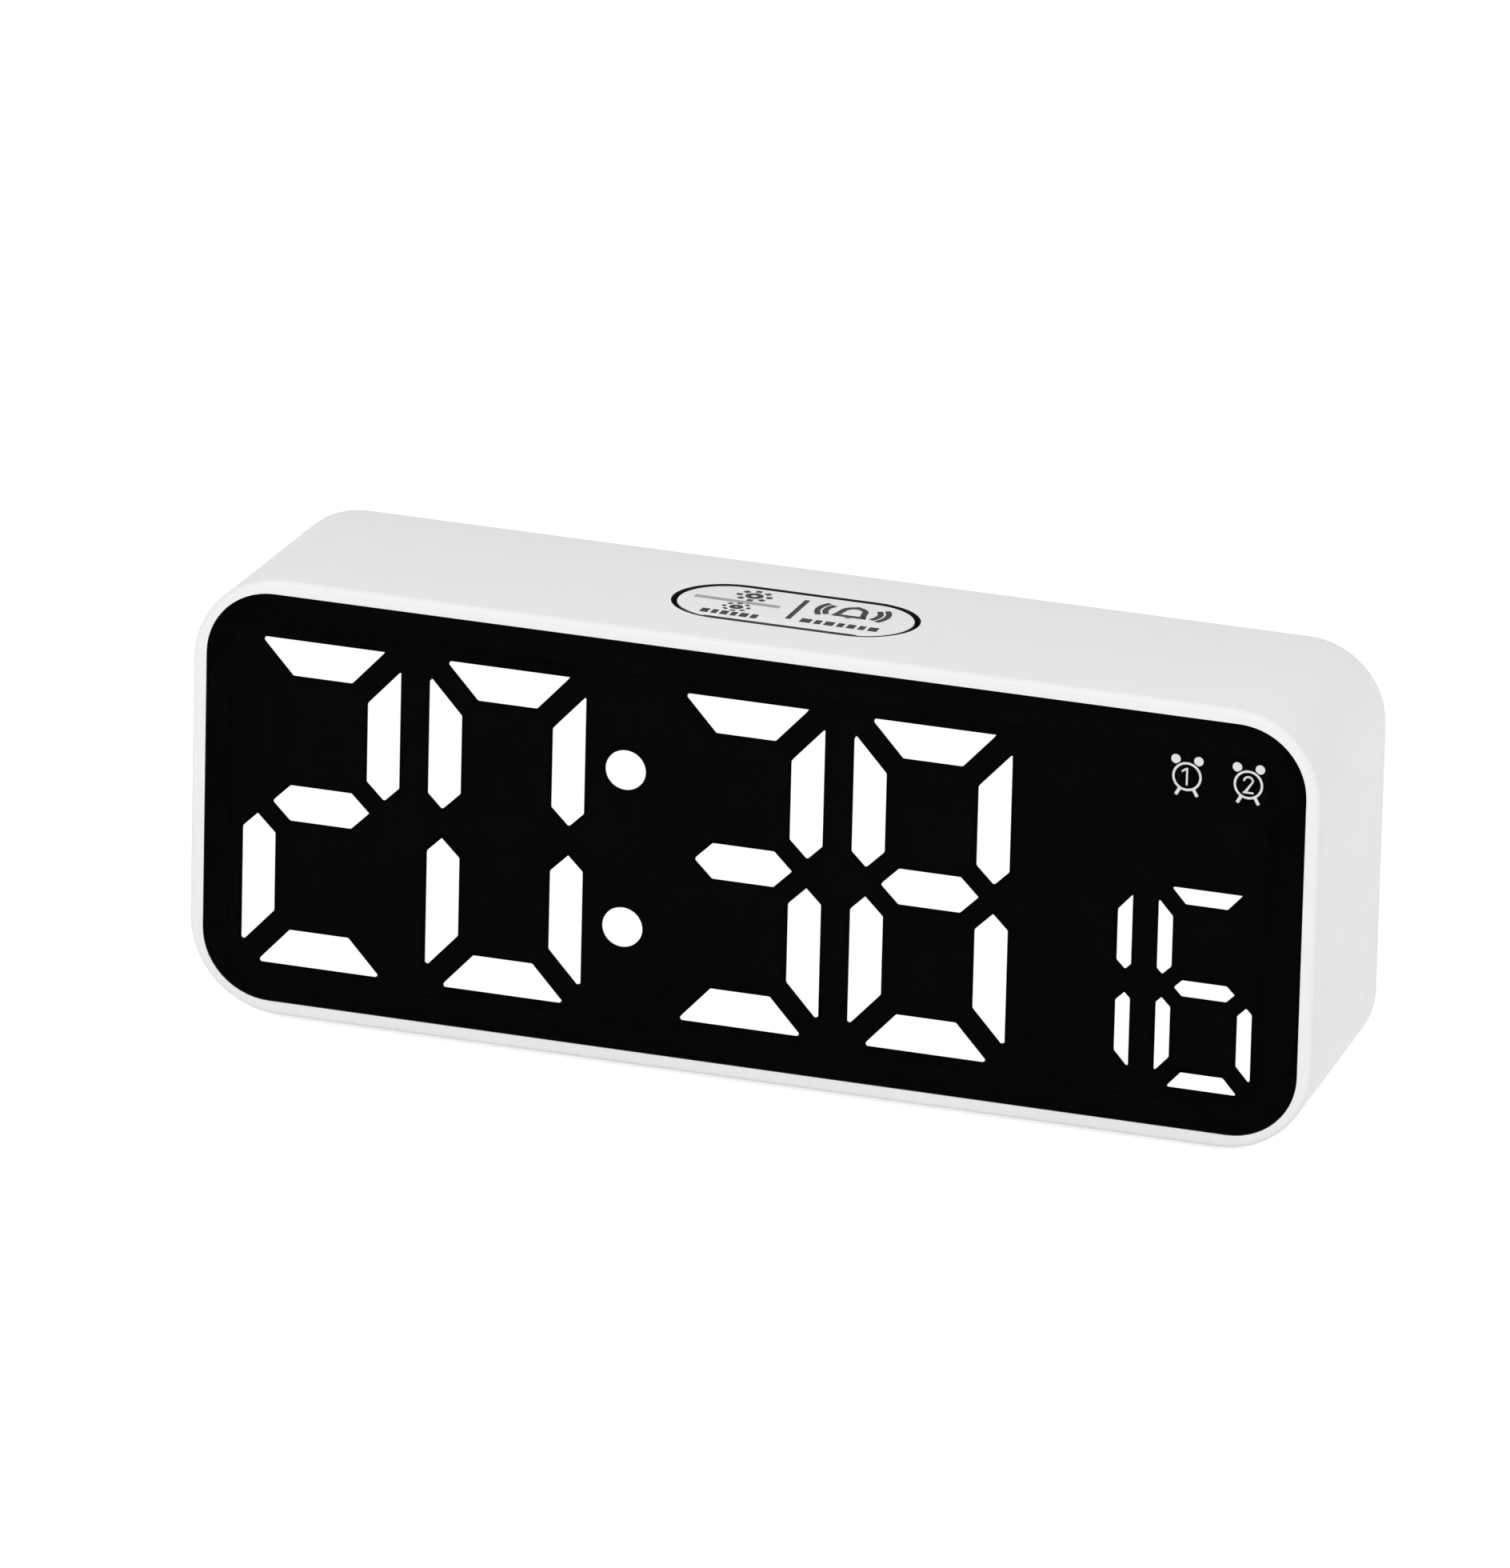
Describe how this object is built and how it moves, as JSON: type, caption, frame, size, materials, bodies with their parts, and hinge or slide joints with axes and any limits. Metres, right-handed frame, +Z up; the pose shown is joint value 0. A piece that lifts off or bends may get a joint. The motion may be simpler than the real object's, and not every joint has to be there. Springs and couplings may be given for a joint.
{
  "type": "digital alarm clock",
  "caption": "Free-standing digital alarm clock: rounded white housing, flush black panel with lit digits, rocker key on top, keys and battery door behind.",
  "frame": {"origin": "on the table plane under the middle of the clock, midway between its front face and its back rim", "axes": "+X to the right seen from the front, -Y out of the front panel, +Z up"},
  "size_m": [0.159, 0.037, 0.0638],
  "materials": {
    "white_plastic": "white moulded plastic with a fine satin texture",
    "key_plastic": "white satin moulded keys with grey printed marks",
    "smoked_panel": "glossy smoked acrylic sheet, nearly black, lit digits show through",
    "black_tape": "thin black adhesive tape and film",
    "black_plastic": "matte black moulded block",
    "lit_diffuser": "milky light diffuser, lit white from behind",
    "unlit_diffuser": "smoke-tinted diffuser, unlit",
    "circuit_board": "green glass-fibre board with solder mask",
    "led_package": "small light-emitting chips with yellow filling",
    "black_component": "black moulded electronic components",
    "screw_steel": "plated steel",
    "ribbon_lead": "flat grey ribbon lead",
    "socket_steel": "drawn stainless steel shell with a black tongue",
    "cell_jacket": null,
    "contact_metal": "nickel-plated spring steel",
    "lead_jacket": "thin insulated wire",
    "foot_rubber": "soft dark grey rubber pads"
  },
  "bodies": {
    "housing": {"housing": "white_plastic", "front_panel": "smoked_panel", "panel_tape": "black_tape", "light_block": "black_plastic", "mark_film": "black_tape", "hour_tens_digit": "lit_diffuser", "hour_units_digit": "lit_diffuser", "colon_dots": "lit_diffuser", "minute_tens_digit": "lit_diffuser", "minute_units_digit": "lit_diffuser", "small_digits": "lit_diffuser", "alarm_marks": "lit_diffuser", "unlit_segments": "unlit_diffuser", "display_board": "circuit_board", "led_chips": "led_package", "driver_chip": "black_component", "display_screws": "screw_steel", "display_lead": "ribbon_lead", "rocker_pin": "screw_steel", "rocker_board": "circuit_board", "rocker_switches": "black_component", "rocker_board_screws": "screw_steel", "rocker_lead": "ribbon_lead", "back_cover": "white_plastic", "cover_screws": "screw_steel", "control_board": "circuit_board", "control_chip": "black_component", "key_switches": "black_component", "power_socket": "socket_steel", "buzzer": "black_component", "control_board_screws": "screw_steel", "battery_cells": "cell_jacket", "contact_plates": "contact_metal", "contact_springs": "contact_metal", "battery_leads": "lead_jacket", "feet": "foot_rubber"},
    "rocker_key": {"rocker_key": "key_plastic"},
    "set_key": {"set_key": "key_plastic"},
    "alarm_key": {"alarm_key": "key_plastic"},
    "up_key": {"up_key": "key_plastic"},
    "down_key": {"down_key": "key_plastic"},
    "battery_door": {"battery_door": "white_plastic"}
  },
  "joints": [
    {"name": "rocker_tilt", "type": "hinge", "parent": "housing", "child": "rocker_key", "pos_m": [0.0004, -0.00152, 0.05926], "axis": [0, 0.998, -0.0634], "range_deg": [-1.3, 1.3], "stiffness_Nm_per_rad": 0.4},
    {"name": "set_key_press", "type": "slide", "parent": "housing", "child": "set_key", "axis": [0, -1, 0], "range_m": [0, 0.0004], "stiffness_N_per_m": 1500, "springref_m": -0.0004},
    {"name": "alarm_key_press", "type": "slide", "parent": "housing", "child": "alarm_key", "axis": [0, -1, 0], "range_m": [0, 0.0004], "stiffness_N_per_m": 1500, "springref_m": -0.0004},
    {"name": "up_key_press", "type": "slide", "parent": "housing", "child": "up_key", "axis": [0, -1, 0], "range_m": [0, 0.0004], "stiffness_N_per_m": 1500, "springref_m": -0.0004},
    {"name": "down_key_press", "type": "slide", "parent": "housing", "child": "down_key", "axis": [0, -1, 0], "range_m": [0, 0.0004], "stiffness_N_per_m": 1500, "springref_m": -0.0004},
    {"name": "battery_door_hinge", "type": "hinge", "parent": "housing", "child": "battery_door", "pos_m": [-0.0382, 0.0163, 0.0471], "axis": [1, 0, 0], "range_deg": [0, 90]}
  ]
}
